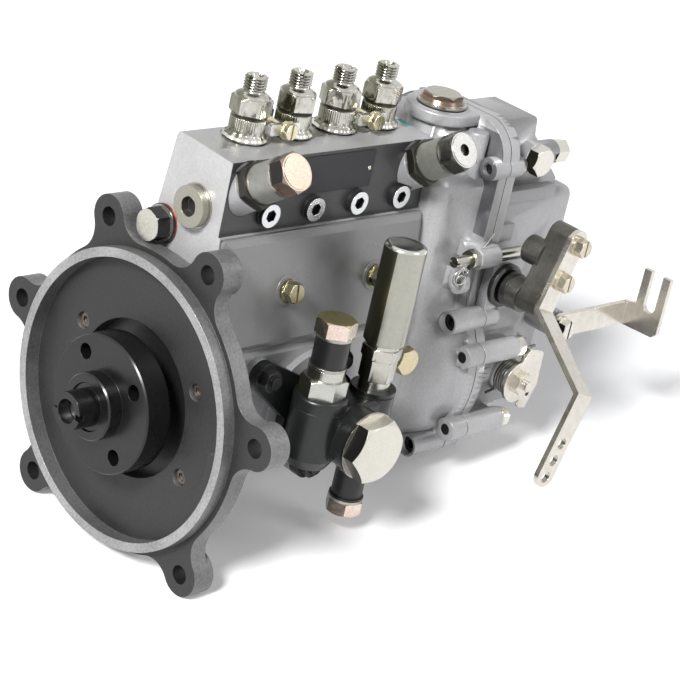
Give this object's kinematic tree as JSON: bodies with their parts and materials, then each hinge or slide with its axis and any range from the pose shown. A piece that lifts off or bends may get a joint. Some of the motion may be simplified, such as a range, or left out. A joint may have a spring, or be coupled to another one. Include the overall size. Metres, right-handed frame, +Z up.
{
  "type": "diesel injection pump",
  "caption": "Inline diesel fuel injection pump with flange mounting, plunger feed pump, hand primer and mechanical governor with control levers",
  "frame": {"origin": "Centre of the mounting face of the flange ears, on the camshaft axis", "axes": "+X along the camshaft from the drive end to the governor, +Y away from the feed pump side, +Z up towards the delivery valves"},
  "size_m": [0.3655, 0.2345, 0.255],
  "materials": {
    "cast_flange": "grey-black painted casting",
    "cast_alloy": "sand-cast light alloy, satin grain",
    "cover_alloy": "smooth die-cast light alloy",
    "gasket_black": "matt black joint and seal",
    "zinc_steel": "yellow zinc-plated fasteners",
    "nickel_steel": "nickel-plated holders and clamps",
    "machined_steel": "ground working steel",
    "spring_steel": "oil-tempered spring wire",
    "bright_steel": "bright plated plugs and primer",
    "yellow_zinc": "yellow passivated zinc unions",
    "sleeve_steel": "dark union sleeves",
    "copper": "copper sealing washers",
    "nameplate_dark": "dark plate without lettering",
    "black_oxide": "black oxide steel",
    "black_cast": "black lacquered casting",
    "dark_arm": "dark forged arm",
    "zinc_sheet": "bright zinc-plated sheet levers"
  },
  "bodies": {
    "body_group": {"mounting_flange": "cast_flange", "pump_housing": "cast_alloy", "governor_housing": "cast_alloy", "governor_cover": "cast_alloy", "side_cover": "cover_alloy", "gaskets": "gasket_black", "shaft_seal": "gasket_black", "side_cover_screws": "zinc_steel", "clamp_screws": "zinc_steel", "governor_screws": "zinc_steel", "flange_screws": "zinc_steel", "oil_level_plug": "zinc_steel", "delivery_valve_holders": "nickel_steel", "clamp_plates": "nickel_steel", "delivery_valves": "machined_steel", "plunger_barrels": "machined_steel", "roller_tappets": "machined_steel", "bearing_outer_rings": "machined_steel", "plunger_springs": "spring_steel", "feed_pump_spring": "spring_steel", "governor_spring": "spring_steel", "stop_spring": "spring_steel", "barrel_screws": "bright_steel", "gallery_plug": "bright_steel", "rack_cap": "bright_steel", "stop_screw": "bright_steel", "filler_plug": "bright_steel", "lever_bush": "bright_steel", "primer_barrel": "bright_steel", "feed_pump_plug": "bright_steel", "inlet_fitting": "yellow_zinc", "overflow_valve": "yellow_zinc", "feed_pump_bolts": "yellow_zinc", "union_adapters": "yellow_zinc", "union_sleeves": "sleeve_steel", "sealing_washers": "copper", "nameplate": "nameplate_dark", "feed_pump_nuts": "black_oxide", "feed_pump_body": "black_cast", "cable_bracket": "zinc_sheet"},
    "shaft_group": {"camshaft": "machined_steel", "drive_hub": "black_oxide", "hub_nut": "black_oxide", "bearing_inner_rings": "machined_steel", "flyweight_carrier": "machined_steel"},
    "weight_group_1": {"flyweight_1": "machined_steel"},
    "weight_group_2": {"flyweight_2": "machined_steel"},
    "sleeve_group": {"governor_sleeve": "machined_steel"},
    "rack_group": {"control_rack": "machined_steel"},
    "element_group_1": {"pump_element_1": "machined_steel"},
    "element_group_2": {"pump_element_2": "machined_steel"},
    "element_group_3": {"pump_element_3": "machined_steel"},
    "element_group_4": {"pump_element_4": "machined_steel"},
    "lever_group": {"lever_shaft": "machined_steel", "control_arm": "dark_arm", "control_lever": "zinc_sheet", "lever_screws": "zinc_steel"},
    "stop_group": {"stop_lever": "zinc_sheet"},
    "primer_group": {"primer_handle": "bright_steel"},
    "feed_piston_group": {"feed_pump_piston": "machined_steel"}
  },
  "joints": [
    {"name": "camshaft_spin", "type": "hinge", "parent": "body_group", "child": "shaft_group", "pos_m": [0, 0, 0], "axis": [1, 0, 0], "continuous": true},
    {"name": "flyweight_swing_1", "type": "hinge", "parent": "shaft_group", "child": "weight_group_1", "pos_m": [0.178, 0, 0.028], "axis": [0, -1, 0], "range_deg": [0, 18]},
    {"name": "flyweight_swing_2", "type": "hinge", "parent": "shaft_group", "child": "weight_group_2", "pos_m": [0.178, 0, -0.028], "axis": [0, 1, 0], "range_deg": [0, 18]},
    {"name": "governor_sleeve_slide", "type": "slide", "parent": "shaft_group", "child": "sleeve_group", "axis": [1, 0, 0], "range_m": [0, 0.005]},
    {"name": "rack_slide", "type": "slide", "parent": "body_group", "child": "rack_group", "axis": [1, 0, 0], "range_m": [-0.01, 0.01]},
    {"name": "element_turn_1", "type": "hinge", "parent": "body_group", "child": "element_group_1", "pos_m": [0.046, 0, 0.09], "axis": [0, 0, 1], "range_deg": [-53, 53]},
    {"name": "element_turn_2", "type": "hinge", "parent": "body_group", "child": "element_group_2", "pos_m": [0.078, 0, 0.09], "axis": [0, 0, 1], "range_deg": [-53, 53]},
    {"name": "element_turn_3", "type": "hinge", "parent": "body_group", "child": "element_group_3", "pos_m": [0.11, 0, 0.09], "axis": [0, 0, 1], "range_deg": [-53, 53]},
    {"name": "element_turn_4", "type": "hinge", "parent": "body_group", "child": "element_group_4", "pos_m": [0.142, 0, 0.09], "axis": [0, 0, 1], "range_deg": [-53, 53]},
    {"name": "control_lever_turn", "type": "hinge", "parent": "body_group", "child": "lever_group", "pos_m": [0.216, -0.06, 0.057], "axis": [0, 1, 0], "range_deg": [-12, 28]},
    {"name": "stop_lever_turn", "type": "hinge", "parent": "body_group", "child": "stop_group", "pos_m": [0.241, -0.06, -0.003], "axis": [0, 1, 0], "range_deg": [0, 35], "stiffness_Nm_per_rad": 0.05, "springref_deg": -17.19},
    {"name": "primer_pull", "type": "slide", "parent": "body_group", "child": "primer_group", "axis": [0, 0, 1], "range_m": [0, 0.022]},
    {"name": "feed_piston_slide", "type": "slide", "parent": "body_group", "child": "feed_piston_group", "axis": [0, -1, 0], "range_m": [0, 0.005], "stiffness_N_per_m": 800, "springref_m": -0.004, "deforming": ["feed_pump_spring"]}
  ],
  "couplings": [
    {"joint": "flyweight_swing_1", "follows": "governor_sleeve_slide", "rad_per_m": 62.5},
    {"joint": "flyweight_swing_2", "follows": "governor_sleeve_slide", "rad_per_m": 62.5},
    {"joint": "element_turn_1", "follows": "rack_slide", "rad_per_m": -90.909},
    {"joint": "element_turn_2", "follows": "rack_slide", "rad_per_m": -90.909},
    {"joint": "element_turn_3", "follows": "rack_slide", "rad_per_m": -90.909},
    {"joint": "element_turn_4", "follows": "rack_slide", "rad_per_m": -90.909}
  ]
}
